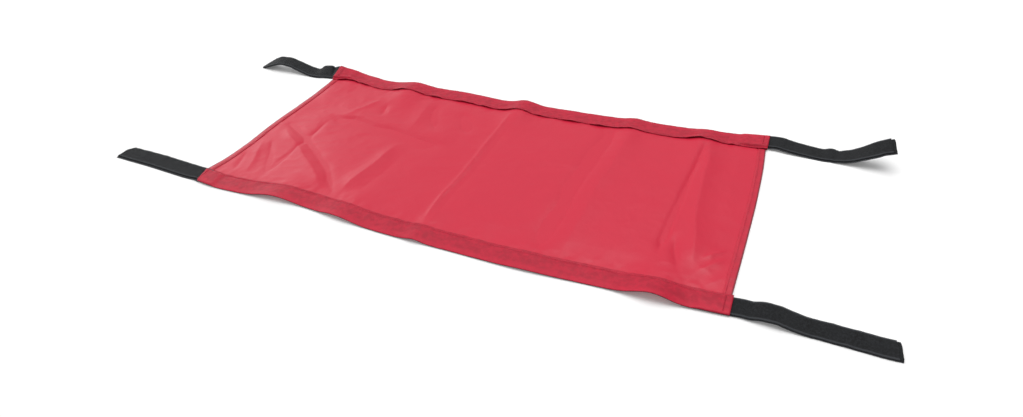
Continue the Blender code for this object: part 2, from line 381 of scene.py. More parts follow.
# %% [markdown]
# ## Materials
# The cloth is nylon taffeta with a polyurethane coat: a saturated red with a soft gloss that
# turns pale where it is seen at a low angle. It is thin enough to let light through, so it is
# brighter over the floor than over a black tape. The tapes are matt black nylon. Patterns made
# of nodes take their scale from a real size, such as the spacing of threads, and stay sharp in
# a close view.

# %% Colours and one small node helper
# A socket whose name its node has twice goes by its number: a Mix node that mixes colours has its
# factor at 0, its colours at 6 and 7, and gives the mixed colour at output 2.
def linear(hex_colour):
    """An sRGB hex colour as the linear numbers that a shader wants."""
    parts = [int(hex_colour[k : k + 2], 16) / 255 for k in (1, 3, 5)]
    return [c / 12.92 if c <= 0.04045 else ((c + 0.055) / 1.055) ** 2.4 for c in parts] + [1.0]


def add_node(tree, kind, settings=(), **links):
    """Adds a node. settings and links go to its sockets, by name or number, or else to its
    properties. One that is another node's socket is joined."""
    node = tree.nodes.new(kind)
    named = {key.replace("_", " "): source for key, source in links.items()}
    for key, value in {**dict(settings), **named}.items():
        if not isinstance(key, int) and key not in node.inputs:
            setattr(node, key, value)
        elif isinstance(value, bpy.types.NodeSocket):
            tree.links.new(value, node.inputs[key])
        else:
            node.inputs[key].default_value = value
    return node


def new_material(name):
    material = bpy.data.materials.new(name)
    material.use_nodes = True
    material.node_tree.nodes.clear()
    return material, material.node_tree


print("white in linear:", linear("#ffffff"))

# %% Coated nylon taffeta
NYLON_RED = "#ce1a3a"
NYLON_HANDLED = "#c71838"
NYLON_DEEP = "#a6102d"  # where the cloth lies on black tape
FOLD_SHADE_PAINT = "#4a1220"  # painted shade: the dark line along the folded edges of casings and hems, where their contact shadow falls
WEAVE = 1.1 * MM  # drawn coarser than its real 0.3 mm so that it shows at all
BLOTCH = 34 * MM  # uneven coat and handling
CRINKLE = 7 * MM  # fine crumples of the coated cloth


def wave_scale(spacing):
    """The Scale of a wave texture whose bands lie spacing apart, in metres. At Scale 1 they lie
    about 0.318 m apart."""
    return 0.318471 / spacing


def coated_nylon(name, deep_share, gloss_low, shine):
    """Plain-woven nylon with a polyurethane coat. deep_share is how far the colour goes to the
    deeper red of doubled cloth or of cloth over black tape, where the mesh's over_tape says so."""
    material, tree = new_material(name)
    place = add_node(tree, "ShaderNodeNewGeometry").outputs["Position"]
    blotch = add_node(tree, "ShaderNodeTexNoise", {"Scale": 1 / BLOTCH, "Detail": 3.0}, Vector=place)
    crinkle = add_node(
        tree, "ShaderNodeTexNoise",
        {"Scale": 1 / CRINKLE, "Detail": 5.0, "Roughness": 0.6}, Vector=place,
    )
    tape = add_node(tree, "ShaderNodeAttribute", {"attribute_name": "over_tape"})
    mottle = add_node(
        tree, "ShaderNodeMapRange",
        {"From Min": 0.4, "From Max": 0.6, "To Min": 0.5}, Value=crinkle.outputs["Fac"],
    )
    over = add_node(
        tree, "ShaderNodeMath",
        {"operation": "MULTIPLY", 0: tape.outputs["Fac"], 1: mottle.outputs["Result"]},
    )
    depth = add_node(
        tree, "ShaderNodeMath", {"operation": "MULTIPLY", 0: over.outputs[0], 1: deep_share},
    )
    shade = add_node(
        tree, "ShaderNodeMapRange",
        {"From Min": 0.3, "From Max": 0.7, "To Max": 0.22}, Value=blotch.outputs["Fac"],
    )
    # Painted shade: where the mesh marks a fold, the colour goes towards a dark red that stands for the
    # shadow along and under the fold.
    fold = add_node(tree, "ShaderNodeAttribute", {"attribute_name": "painted_fold_shade"})
    colour = linear(NYLON_RED)
    shares = (shade.outputs["Result"], depth.outputs[0], fold.outputs["Fac"])
    for share, paint in zip(shares, (NYLON_HANDLED, NYLON_DEEP, FOLD_SHADE_PAINT)):
        mix = {"data_type": "RGBA", 0: share, 6: colour, 7: linear(paint)}
        colour = add_node(tree, "ShaderNodeMix", mix).outputs[2]
    warp, weft = (
        add_node(
            tree, "ShaderNodeTexWave",
            {"Scale": wave_scale(WEAVE), "bands_direction": direction}, Vector=place,
        )
        for direction in ("X", "Y")
    )
    weave = add_node(
        tree, "ShaderNodeMath",
        {"operation": "MULTIPLY", 0: warp.outputs["Fac"], 1: weft.outputs["Fac"]},
    )
    threads = add_node(
        tree, "ShaderNodeBump", {"Strength": 0.12, "Distance": 0.1 * MM}, Height=weave.outputs[0],
    )
    wrinkle = add_node(
        tree, "ShaderNodeBump", {"Strength": 0.35, "Distance": 0.5 * MM},
        Height=crinkle.outputs["Fac"], Normal=threads.outputs["Normal"],
    )
    gloss = add_node(
        tree, "ShaderNodeMapRange",
        {"To Min": gloss_low, "To Max": gloss_low + 0.08}, Value=blotch.outputs["Fac"],
    )
    shader = add_node(
        tree, "ShaderNodeBsdfPrincipled",
        {"IOR": 1.52, "Specular IOR Level": shine, "Sheen Weight": 0.06, "Sheen Roughness": 0.4},
        Base_Color=colour, Roughness=gloss.outputs["Result"], Normal=wrinkle.outputs["Normal"],
    )
    add_node(tree, "ShaderNodeOutputMaterial", Surface=shader.outputs["BSDF"])
    return material


panel_nylon = coated_nylon("coated nylon taffeta", 0.4, 0.36, 0.42)
casing_nylon = coated_nylon("coated nylon taffeta over tape", 0.85, 0.5, 0.3)
print("nylon colours", NYLON_RED, NYLON_DEEP)

# %% Woven black tape and polyester thread
TAPE_BLACK = "#111214"
PILE_BLACK = "#121314"
# The selvedge colour is paler than the tape: partly its woven edge, partly a painted highlight along the
# edge.
FLECK, WORN, SELVEDGE_AND_SHEEN = "#292b2e", "#242629", "#4a4c50"
RIB = 0.9 * MM  # the tape's weft ribs, drawn coarser than their real 0.4 mm
FLUFF = 2.2 * MM  # tufts of loops
WEAR = 22 * MM  # patches worn by handling
PLY_TWIST = 1.0 * MM  # the stripes of a twisted thread, drawn coarser than their real 0.5 mm


def woven_tape(name, colour, pile):
    """Matt nylon tape. A pile has coarse uneven fluff, a plain back has ribs across the tape."""
    material, tree = new_material(name)
    place = add_node(tree, "ShaderNodeNewGeometry").outputs["Position"]
    fluff = add_node(
        tree, "ShaderNodeTexNoise",
        {"Scale": 1 / FLUFF, "Detail": 5.0, "Roughness": 0.75}, Vector=place,
    )
    wear = add_node(tree, "ShaderNodeTexNoise", {"Scale": 1 / WEAR, "Detail": 2.0}, Vector=place)
    ribs = add_node(
        tree, "ShaderNodeTexWave", {"Scale": wave_scale(RIB), "Distortion": 0.6}, Vector=place,
    )
    height = fluff if pile else ribs
    light = add_node(
        tree, "ShaderNodeMapRange",
        {"From Min": 0.42, "From Max": 0.66, "To Max": 0.9}, Value=fluff.outputs["Fac"],
    )
    patch = add_node(
        tree, "ShaderNodeMapRange",
        {"From Min": 0.4, "From Max": 0.7, "To Max": 0.35}, Value=wear.outputs["Fac"],
    )
    # The tape back's long edges go paler: partly the woven selvedge, partly a painted highlight where
    # the edge catches light.
    selvedge_and_sheen = add_node(tree, "ShaderNodeAttribute", {"attribute_name": "selvedge_and_sheen"})
    rim = add_node(
        tree, "ShaderNodeMath",
        {"operation": "MULTIPLY", 0: selvedge_and_sheen.outputs["Fac"], 1: 0.0 if pile else 0.7},
    )
    shown = linear(colour)
    shares = (light.outputs["Result"], patch.outputs["Result"], rim.outputs[0])
    for share, paint in zip(shares, (FLECK, WORN, SELVEDGE_AND_SHEEN)):
        mix = {"data_type": "RGBA", 0: share, 6: shown, 7: linear(paint)}
        shown = add_node(tree, "ShaderNodeMix", mix).outputs[2]
    strength = 0.8 if pile else 0.6
    bump = add_node(
        tree, "ShaderNodeBump",
        {"Strength": strength, "Distance": 0.5 * MM}, Height=height.outputs["Fac"],
    )
    shader = add_node(
        tree, "ShaderNodeBsdfPrincipled",
        {
            "Roughness": 0.85, "IOR": 1.45, "Specular IOR Level": 0.25,
            "Sheen Weight": 0.1, "Sheen Roughness": 0.5,
        },
        Base_Color=shown, Normal=bump.outputs["Normal"],
    )
    add_node(tree, "ShaderNodeOutputMaterial", Surface=shader.outputs["BSDF"])
    return material


def sewing_thread():
    """Spun polyester: a matt red a little deeper than the cloth, with the twist as fine stripes."""
    material, tree = new_material("spun polyester thread")
    place = add_node(tree, "ShaderNodeNewGeometry").outputs["Position"]
    twist = add_node(
        tree, "ShaderNodeTexWave",
        {"Scale": wave_scale(PLY_TWIST), "bands_direction": "DIAGONAL"}, Vector=place,
    )
    dark, pale = linear("#b81c38"), linear("#cc2c4a")
    mix = {"data_type": "RGBA", 0: twist.outputs["Fac"], 6: dark, 7: pale}
    colour = add_node(tree, "ShaderNodeMix", mix).outputs[2]
    bump = add_node(
        tree, "ShaderNodeBump", {"Strength": 0.5, "Distance": 0.1 * MM}, Height=twist.outputs["Fac"],
    )
    shader = add_node(
        tree, "ShaderNodeBsdfPrincipled", {"Roughness": 0.6},
        Base_Color=colour, Normal=bump.outputs["Normal"],
    )
    add_node(tree, "ShaderNodeOutputMaterial", Surface=shader.outputs["BSDF"])
    return material


tape_back = woven_tape("woven nylon tape back", TAPE_BLACK, pile=False)
tape_pile = woven_tape("hook and loop pile", PILE_BLACK, pile=True)
thread = sewing_thread()
print("tape colour", TAPE_BLACK)

# %% [markdown]
# ## The panel
# The panel is one sheet from hem to hem. Its short edges are turned over onto its upper face, so
# the grid simply carries on past the edge, round a tight fold and back inwards. Separate strips
# would be simpler, but a gap would open wherever the cloth bends. The side edges wander a
# little, because the cloth is held only at its corners.

# %% Cut and lay the panel
# Each short edge in plan, in mm: across the belt, and where the edge lies.
LEFT_EDGE = [
    (-152, -374), (-118, -367), (-90, -365.5), (-10, -368), (60, -365.5), (110, -365.5), (152, -368),
]
RIGHT_EDGE = [(-150, 378), (-60, 380.5), (40, 382), (110, 381), (150, 379)]
LENGTHWISE, CROSSWISE = 460, 196  # points of the panel's grid, fine enough for its creases
TUCK = 5  # mm of panel that reach into each casing


def panel_section():
    """Places along the belt from hem to hem, each as (share of the way from the left edge to the
    right edge, distance back from that edge, height above the cloth's underside), in mm."""
    fold, back = 0.32, np.linspace(0.4, HEM / MM, 7)
    bend = np.linspace(0.3, math.pi - 0.3, 4)
    turn = [(0.25 * math.sin(a), fold * (1 - math.cos(a))) for a in bend]
    hem = [(-out, 0.15 + up) for out, up in turn] + [(inward, 0.2 + 2 * fold) for inward in back]
    left = [(0.0, inward, up) for inward, up in reversed(hem)]
    body = [(share, 0.0, 0.15) for share in np.linspace(0, 1, LENGTHWISE)]
    right = [(1.0, -inward, up) for inward, up in hem]
    return left + body + right


def make_panel():
    share, inward, up = np.array(panel_section()).T
    inner = (HALF_DEPTH - CASING) / MM
    across = np.linspace(-inner - TUCK, inner + TUCK, CROSSWISE)
    left = smooth_through(LEFT_EDGE, across)[None, :]
    right = smooth_through(RIGHT_EDGE, across)[None, :]
    along = left + (right - left) * share[:, None] + inward[:, None]
    across = np.broadcast_to(across[None, :], along.shape)
    lifted = up[:, None] + 0.5 * np.ones(along.shape)
    pucker = noise_at(along, across, 9, 2.2) * (np.abs(inward) > 0.3)[:, None]
    is_hem = (share == 0) | (share == 1)
    mesh = grid_mesh("panel_cloth", lay(along, across, lifted + 0.3 * pucker))
    panel = new_piece("panel_cloth", mesh, panel_nylon)
    # Painted shade: a dark line along the fold of each hem, where its contact shadow falls.
    hem_fold_shade = np.clip((1.4 - np.abs(inward)[:, None] + 0 * along) / 0.7, 0, 1)
    mark(mesh, "painted_fold_shade", 0.7 * hem_fold_shade * is_hem[:, None])
    doubled = np.clip(HEM / MM + 0.5 - np.minimum(along - left, right - along), 0, 1)
    mark(mesh, "over_tape", doubled)
    thicken(panel, CLOTH)
    return panel


panel = make_panel()
print("the panel has", len(panel.data.vertices), "points")

# %% [markdown]
# ## The casings
# Each casing is a strip folded lengthwise round its tape. Its section goes along the floor, round
# the fold, back over the tape, dips where the seam pulls it down onto the panel, and ends in a
# narrow lip whose raw edge is turned under. One section swept along the belt makes all of that
# in one sheet, as it was sewn. It is thicker near its mouths, where a hook tape lies on the loop
# tape. Sewing pulls the cloth in, so the lip ripples.

# %% Fold the casings
SEAM_IN = 3.5  # mm from the lip back to the seam
TAPE_IN = 1.4  # mm from the fold to the tape
# How far the casing's outer corner falls short of its inner corner at a mouth, in mm.
MOUTH_SLANTS = {
    ("front", "left"): 9, ("front", "right"): 0, ("rear", "left"): 0, ("rear", "right"): 0,
}
# Where each mouth's inner corner lies along the belt, in mm.
MOUTHS = {
    ("front", "left"): -373, ("front", "right"): 380, ("rear", "left"): -369, ("rear", "right"): 381,
}
LOOSE = {"front": 0.35, "rear": 2.2}  # mm that the lip can ripple up between its stitches
LUMPS, LIP_WANDER = 0.36, 0.8  # mm, of the cloth over the tape and of the lip in plan
CASING_ROWS = 420  # points along a casing


def casing_section(thick):
    """The strip's section as (inwards from the folded edge, above the underside), in mm, for a
    stack of tape that is thick mm high."""
    casing, tape = CASING / MM, TAPE_WIDTH / MM
    low, high = 0.15, thick + 1.0
    r = (high - low) / 2
    bottom = [(w, low) for w in np.linspace(casing - 1, r, 8)]
    turn = np.linspace(0.15, math.pi - 0.15, 9)
    fold = [(r - r * math.sin(a), low + r - r * math.cos(a)) for a in turn]
    on_tape = np.linspace(r, TAPE_IN + tape, 14)
    over = [(w, high + 0.12 * math.sin(math.pi * (w - r) / tape)) for w in on_tape]
    seam = [(casing - SEAM_IN - 0.8, 1.7), (casing - SEAM_IN, 1.55), (casing - SEAM_IN + 0.8, 1.7)]
    lip = [
        (casing - 1.2, 1.95), (casing - 0.3, 1.95), (casing, 1.75), (casing - 0.3, 1.6),
        (casing - 1.6, 1.55),
    ]
    return np.array(bottom + fold + over + seam + lip)


def stack_height(along, edge):
    """Height of the tapes inside a casing: one tape, and two near the mouths."""
    left, right = MOUTHS[edge, "left"], MOUTHS[edge, "right"]
    from_mouth = np.minimum(along - left, right - along)
    ends = np.clip((42 - from_mouth) / 12, 0, 1)
    return 0.9 + 2.2 * ends * ends * (3 - 2 * ends)


def make_casing(edge):
    sign = EDGES[edge]
    along = np.linspace(MOUTHS[edge, "left"], MOUTHS[edge, "right"], CASING_ROWS)
    stacks = stack_height(along, edge)
    sections = np.array([casing_section(s) for s in stacks])
    inwards, up = sections[..., 0], sections[..., 1]
    level = up / (stacks[:, None] + 1.0)
    along = np.broadcast_to(along[:, None], up.shape)
    half, casing = HALF_DEPTH / MM, CASING / MM
    lip = np.clip((inwards - 22) / 9, 0, 1) * (up > 1)
    top = np.clip((up - 1.2) / 0.8, 0, 1)
    ripple = noise_at(along, 0 * along, 21, 4.4 + sign)
    ripple += 0.4 * noise_at(along, 0 * along, 7, 9.1 + sign)
    fine = noise_at(along + 1.3 * inwards, 0.5 * inwards, 7, 6.3 + sign)
    fine += 0.5 * noise_at(along, inwards, 4, 2.3 + sign)
    up = up + LOOSE[edge] * np.clip(0.35 + ripple, 0, None) * lip + LUMPS * fine * top
    inwards = inwards + LIP_WANDER * noise_at(along, 0 * along, 26, 1.7 + sign) * lip
    across = sign * (half - inwards)
    for side, out in SIDES.items():
        near = np.clip(1 - out * (MOUTHS[edge, side] - along) / 60, 0, 1)
        along = along - out * near * MOUTH_SLANTS[edge, side] * (1 - inwards / casing)
    points = lay(along, across, up)
    if sign > 0:
        points = points[:, ::-1]
        inwards, up, level = inwards[:, ::-1], up[:, ::-1], level[:, ::-1]
    mesh = grid_mesh(f"{edge}_casing", points)
    over = np.clip((up - 0.9) / 0.5, 0, 1) * (0.55 + 0.45 * np.clip((inwards - 5) / 5, 0, 1))
    # Painted shade: a dark band on the underside of each casing's fold, and a dark line along the top of
    # the rear casing's fold, where shade falls on the bent cloth.
    shade_under_fold = np.clip((3.0 - inwards) / 1.5, 0, 1) * np.clip((0.8 - level) / 0.25, 0, 1)
    shade_on_fold = 0.8 * np.clip((1.2 - inwards) / 0.6, 0, 1) if edge == "rear" else 0
    mark(mesh, "painted_fold_shade", np.maximum(shade_under_fold, shade_on_fold))
    mark(mesh, "over_tape", over)
    piece = new_piece(f"{edge}_casing", mesh, casing_nylon)
    thicken(piece, CLOTH)
    return piece


casings = {edge: make_casing(edge) for edge in EDGES}
print("each casing has", len(casings["front"].data.vertices), "points")

# %% [markdown]
# ## The tapes
# Inside each casing one loop tape runs from mouth to mouth. Outside, each tail is a path of a few
# stations: how far out, how far to the rear, how high, and how far it rolls. A smooth curve
# through them carries two woven tapes with their pressed hooks and loops between them. A curve
# object with a flat bevel would twist where it liked, so the frames are worked out here.

# %% Tapes inside the casings
def make_tape_inside(name, edge, first, last, low, count=120):
    """A tape in a casing, from low to low + PLY above the underside, in mm."""
    along = np.linspace(first, last, count)[:, None]
    outer = HALF_DEPTH / MM - TAPE_IN
    across = EDGES[edge] * np.linspace(outer - TAPE_WIDTH / MM, outer, 6)[None, :]
    along, across = np.broadcast_arrays(along, across)
    points = lay(along, across, low + PLY / MM / 2)
    if EDGES[edge] < 0:
        points = points[:, ::-1]
    piece = new_piece(name, grid_mesh(name, points), tape_back)
    thicken(piece, PLY)
    return piece


INSIDE = 12  # mm inside the mouth where the tape outside takes over
BEND = (2, 20)  # mm beyond the casings where a loop tape starts and stops bending
ROOT = 35  # mm of hook tape in the casing
inside_tapes, hook_roots = {}, {}
for edge in EDGES:
    first, last = MOUTHS[edge, "left"] + INSIDE, MOUTHS[edge, "right"] - INSIDE
    inside_tapes[edge] = make_tape_inside(f"{edge}_loop_tape_inside", edge, first, last, 0.5)
    for side, out in SIDES.items():
        mouth = MOUTHS[edge, side]
        ends = sorted((mouth - out * ROOT, mouth - out * INSIDE))
        name = f"{edge}_{side}_hook_tape_inside"
        hook_roots[edge, side] = make_tape_inside(name, edge, *ends, 0.5 + (PLY + PILE) / MM, 30)
print(len(inside_tapes) + len(hook_roots), "tapes inside the casings")

# %% Tapes outside the casings
TAILS = {
    # out, to the rear, height of the underside, roll (positive lifts the rear edge): mm and degrees
    ("front", "left"): [
        (20, 0, 0.2, 3), (60, 2, 0.2, 4), (100, 4, 0.2, 4), (140, 5, 0.2, 3), (168, 6, 0.2, 1),
    ],
    ("front", "right"): [
        (12, 0.5, 1.6, 1), (20, 0, 2.0, 1), (32, 0, 5.0, 2), (46, -0.5, 5.2, 2), (60, -1, 2.6, 1),
        (74, -1.5, 0.6, 0), (90, -1.5, 0.2, 0), (125, -2.5, 0.2, 0), (145, -3.2, 0.2, 0),
        (160, -2.5, 0.2, 0),
    ],
    ("rear", "left"): [
        (10, -1, 3.6, 28), (24, -3, 3.6, 28), (36, -5, 2, 15), (48, -5, 1.5, 5), (62, -4, 3, 2),
        (78, -3, 6.5, 0), (95, -2, 11, 0), (112, -2, 14, 3), (130, -3, 13, 8), (148, -3, 7, 10),
        (160, -2, 1.8, 6), (166, -1.5, 0.4, 3),
    ],
    ("rear", "right"): [
        (14, -0.5, 4.5, 5), (30, -3, 3, 4), (58, -5, 0.8, 2), (72, -6, 0.5, 2), (82, -5.5, 0.8, 7),
        (92, -6, 1.6, 1), (98, -6, 3, 3), (110, -6, 7.5, 6), (126, -6, 17, 10),
        (140, -5, 25.5, 14), (154, -4.5, 32, 18),
    ],
}
# How far the hook tape is pressed on towards the rear of its loop tape, in mm.
PLY_OFFSETS = {
    ("front", "left"): 3.6, ("front", "right"): 0.6, ("rear", "left"): 1.8, ("rear", "right"): 2.6,
}
# How far the rear corner of each tip is rounded off, in mm.
TIP_CORNERS = {
    ("front", "left"): 7, ("front", "right"): 0.8, ("rear", "left"): 0.8, ("rear", "right"): 0.8,
}
TIP_STEP = 2  # rows of the grid that the hook tape stops short of its loop tape
PAIR = PLY + PILE / 2  # from the middle of the pair to its outer faces


def catmull(points, t):
    """A point of the smooth curve through points, at t from 0 to 1."""
    spans = len(points) - 1
    k = min(int(t * spans), spans - 1)
    u = t * spans - k
    a, b, c, d = (points[min(max(k + n, 0), spans)] for n in (-1, 0, 1, 2))
    square, cube = 2 * a - 5 * b + 4 * c - d, 3 * b - a - 3 * c + d
    return 0.5 * (2 * b + (c - a) * u + square * u**2 + cube * u**3)


def tail_frames(edge, side, count=90):
    """The middle of a tape pair as arrays: point, across (to the rear), up and run, in metres."""
    out, mouth = SIDES[side], MOUTHS[edge, side]
    centre = EDGES[edge] * (HALF_DEPTH / MM - TAPE_IN - TAPE_WIDTH / MM / 2)
    steps = (INSIDE, 0)
    inside = [lay(np.array([mouth - out * s]), np.array([centre]), 0.5)[0] / MM for s in steps]
    rear = lay(np.array([mouth]), np.array([centre + 10.0]), 0.5)[0] / MM
    roll = math.degrees(math.atan2(rear[2] - inside[1][2], 10))
    start = inside[1]
    stations = [np.array([*point, roll]) for point in inside]
    for away, rearwards, height, turn in TAILS[edge, side]:
        stations.append(np.array([start[0] + out * away, start[1] + rearwards, height, turn]))
    raw = np.array([catmull(stations, t) for t in np.linspace(0, 1, 400)])
    pieces = np.linalg.norm(np.diff(raw[:, :3], axis=0), axis=1)
    run = np.concatenate([[0], np.cumsum(pieces)])
    even = np.linspace(0, run[-1], count)
    path = np.stack([np.interp(even, run, raw[:, k]) for k in range(4)], 1)
    points = path[:, :3] * MM
    ahead = np.gradient(points, axis=0)
    ahead /= np.linalg.norm(ahead, axis=1, keepdims=True)
    level = np.cross([0, 0, 1], ahead) * out
    level /= np.linalg.norm(level, axis=1, keepdims=True)
    up_level = np.cross(ahead, level) * out
    turn = np.radians(path[:, 3])[:, None]
    seed = 3.0 * out + 11.0 * EDGES[edge]
    still = np.zeros(count)
    free = np.clip((even - INSIDE) / 12, 0, 1)  # the casing holds the tape flat at its mouth
    flutter = noise_at(even, still, 17, seed) + 0.5 * noise_at(even, still, 7, seed + 1)
    settle = free * flutter
    twist = free * noise_at(even, still, 13, seed + 2)
    turn = turn + np.radians(3.5 * twist)[:, None]
    across = level * np.cos(turn) + up_level * np.sin(turn)
    up = np.cross(ahead, across) * out
    points = points + up * PAIR + up * (0.55 * MM * np.abs(settle))[:, None]
    reach = (TAPE_WIDTH + PLY_OFFSETS[edge, side] * MM) / 2
    under = points[:, 2] - up[:, 2] * PAIR - np.abs(across[:, 2]) * reach
    points[:, 2] -= np.minimum(under - 0.1 * MM, 0)  # nothing reaches below the floor
    return points, across, up, even * MM


def ribbon(name, frames, keep, middle, width, thickness, material, out, corner=0.0, slide=0.0):
    """A tape along frames[keep], middle above the pair's middle, with a rounded rear tip corner
    and a slightly frayed cut. slide moves it to the rear of the pair's middle."""
    points, across, up, run = (part[keep] for part in frames)
    shares = np.array([-0.5, -0.455, -0.4, -0.25, 0, 0.25, 0.4, 0.455, 0.5])
    sideways = shares[None, :, None] * width + slide
    rows = points[:, None] + up[:, None] * middle + across[:, None] * sideways
    ahead = points[-1] - points[-2]
    ahead /= np.linalg.norm(ahead)
    fray = noise_at(shares * 9, np.full(shares.shape, middle / MM), 1, len(name))
    if corner:
        rows[-1] += (fray[:, None] * 0.7 * MM) * ahead
        back = corner * np.clip((shares - 0.15) / 0.35, 0, 1) ** 2.2
        near_tip = np.clip(1 - (run[-1] - run) / (3 * corner), 0, 1)[:, None]
        rows -= (near_tip * back[None, :])[..., None] * ahead
    if out > 0:
        rows = rows[:, ::-1]
    # A row close to each end keeps the rounded shading of the cut off the tape's face.
    near_start = rows[:1] + 0.04 * (rows[1:2] - rows[:1])
    near_stop = rows[-1:] + 0.04 * (rows[-2:-1] - rows[-1:])
    rows = np.concatenate([rows[:1], near_start, rows[1:-1], near_stop, rows[-1:]])
    mesh = grid_mesh(name, rows)
    # Marks the long edges for a paler colour: partly the woven selvedge, partly a painted highlight
    # along the edge.
    mark(mesh, "selvedge_and_sheen", np.broadcast_to(np.abs(shares) > 0.44, rows.shape[:2]))
    piece = new_piece(name, mesh, material)
    thicken(piece, thickness)
    return piece


def make_tail(edge, side):
    """One tape pair outside its casing: the loop tape, the pressed pile, the neck of the hook tape
    that stays down, and the rest of the hook tape."""
    out = SIDES[side]
    frames = tail_frames(edge, side)
    run = frames[3]
    count = len(run)
    split = np.searchsorted(np.abs(frames[0][:, 0]), HALF + BEND[1] * MM)
    whole, neck, free = slice(0, count), slice(0, split + 1), slice(split, count - TIP_STEP)
    outside = slice(np.searchsorted(run, (INSIDE + 0.5) * MM), count)
    lift, narrow = (PILE + PLY) / 2, TAPE_WIDTH - 1.2 * MM
    corner = TIP_CORNERS[edge, side] * MM
    slide = PLY_OFFSETS[edge, side] * MM / 2
    woven = (TAPE_WIDTH, PLY, tape_back, out)
    loop = ribbon(f"{edge}_{side}_loop_tape", frames, whole, -lift, *woven, corner, -slide)
    pile = ribbon(
        f"{edge}_{side}_loop_pile", frames, outside, 0, narrow, PILE, tape_pile, out, corner,
    )
    held = ribbon(f"{edge}_{side}_hook_tape_neck", frames, neck, lift, *woven, 0, slide)
    hook = ribbon(f"{edge}_{side}_hook_tape", frames, free, lift, *woven, corner, slide)
    return loop, pile, held, hook


tails = {(edge, side): make_tail(edge, side) for side in SIDES for edge in EDGES}
print(len(tails), "tape pairs")

# %% [markdown]
# ## Stitches
# A lockstitch seam shows as a row of short threads, each dipping into the cloth at both ends.
# They are real geometry, because a line drawn by a material would vanish in a close view.

# %% Sew the seams and end tacks
STITCH, STITCH_GAP, THREAD_RADIUS = 3.0, 0.7, 0.24  # mm
CLOTH_TOP = 1.75  # mm from the cloth's underside to where a seam's thread lies
TACK_TOP = 4.6  # and over a casing with two tapes in it
TACK_IN, TACK_TURNS, TACK_REACH = 7, 36, 1.1  # mm in from the mouth, turns, mm across each
HEM_SEAM = 3  # mm from the hem's inner edge


def stitches(start, stop):
    """A row of stitches from start to stop: each one's places along the row, and the heights
    at which it dips, rises and dips again, in mm."""
    pitch = STITCH + STITCH_GAP
    firsts = start + pitch * np.arange(int((stop - start) / pitch))[:, None]
    places = firsts + np.array([0, 0.2, 0.5, 0.8, 1.0])[None, :] * STITCH
    heights = np.array([-0.25, 0.2, 0.3, 0.2, -0.25])[None, :]
    return places, CLOTH_TOP + heights + 0 * places


def sew(name, points):
    return new_piece(name, tube_mesh(name, list(points), THREAD_RADIUS * MM), thread)


def make_seam(edge):
    across = EDGES[edge] * (HALF_DEPTH - CASING) / MM + EDGES[edge] * SEAM_IN
    along, up = stitches(MOUTHS[edge, "left"] + 1, MOUTHS[edge, "right"] - 1)
    return sew(f"{edge}_casing_stitches", lay(along, np.full(along.shape, across), up))


def make_hem_seam(side):
    inner = (HALF_DEPTH - CASING) / MM - 1
    edge_line = LEFT_EDGE if side == "left" else RIGHT_EDGE
    across, up = stitches(-inner, inner)
    along = smooth_through(edge_line, across) - SIDES[side] * (HEM / MM - HEM_SEAM)
    return sew(f"{side}_hem_stitches", lay(along, across, up))


def make_end_tack(edge, side):
    """A close zigzag across the mouth, through both layers of the casing and both tapes."""
    half, tape = HALF_DEPTH / MM, TAPE_WIDTH / MM
    steps = np.linspace(TAPE_IN + 1.5, TAPE_IN + tape - 1.5, TACK_TURNS)
    zigzag = TACK_IN + TACK_REACH * (np.arange(TACK_TURNS) % 2)
    along = MOUTHS[edge, side] - SIDES[side] * zigzag
    points = lay(along, EDGES[edge] * (half - steps), TACK_TOP + 0 * along)
    return sew(f"{edge}_{side}_end_tack_thread", [points])


seams = {edge: make_seam(edge) for edge in EDGES}
hem_seams = {side: make_hem_seam(side) for side in SIDES}
tacks = {(edge, side): make_end_tack(edge, side) for edge in EDGES for side in SIDES}
rows = [*seams.values(), *hem_seams.values(), *tacks.values()]
print(sum(len(row.data.vertices) for row in rows), "points of thread")

# %% [markdown]
# ## What moves with what
# The cloth, the casings, their seams and the loop tapes inside keep their laid shape, as
# fold_across only bakes each piece's place into its mesh. The hem seams, the hook tapes in the
# casings and the end tacks go with their half of the belt, and the tapes outside are baked too.


def fold_across(piece):
    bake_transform(piece)


fold_across(panel)
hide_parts("left_panel_cloth", "right_panel_cloth")
for edge in EDGES:
    fold_across(casings[edge])
    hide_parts(f"{edge}_left_casing", f"{edge}_right_casing")
    fold_across(seams[edge])
    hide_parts(f"{edge}_left_casing_seam", f"{edge}_right_casing_seam")
    fold_across(inside_tapes[edge])
    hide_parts(f"{edge}_left_loop_belt", f"{edge}_right_loop_belt")
for side in SIDES:
    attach(hem_seams[side], f"{side}_half")
    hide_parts(f"{side}_hem_seam")
for (edge, side), (loop, pile, held, hook) in tails.items():
    out, corner, half = SIDES[side], f"{edge}_{side}", f"{side}_half"
    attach(hook_roots[edge, side], half)
    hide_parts(f"{corner}_hook_root")
    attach(tacks[edge, side], half)
    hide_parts(f"{corner}_end_tack")
    for piece in (loop, pile, held):
        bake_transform(piece)
    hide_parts(f"{corner}_loop_tail")
    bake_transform(hook)
    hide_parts(f"{corner}_hook_tail")

# %% The pieces in place
print("the pieces are in place")

# %% [markdown]
# ## Floor, light and camera
# A pale floor catches soft shadows. A large lamp hangs above and behind the belt, so the cloth
# shines towards the camera and the lifted edges drop a soft shadow on the near side.

# %% Floor and world
PAPER_NEAR, PAPER_FAR = 0.8, 2.2  # m from the middle, where the paper starts and ends fading


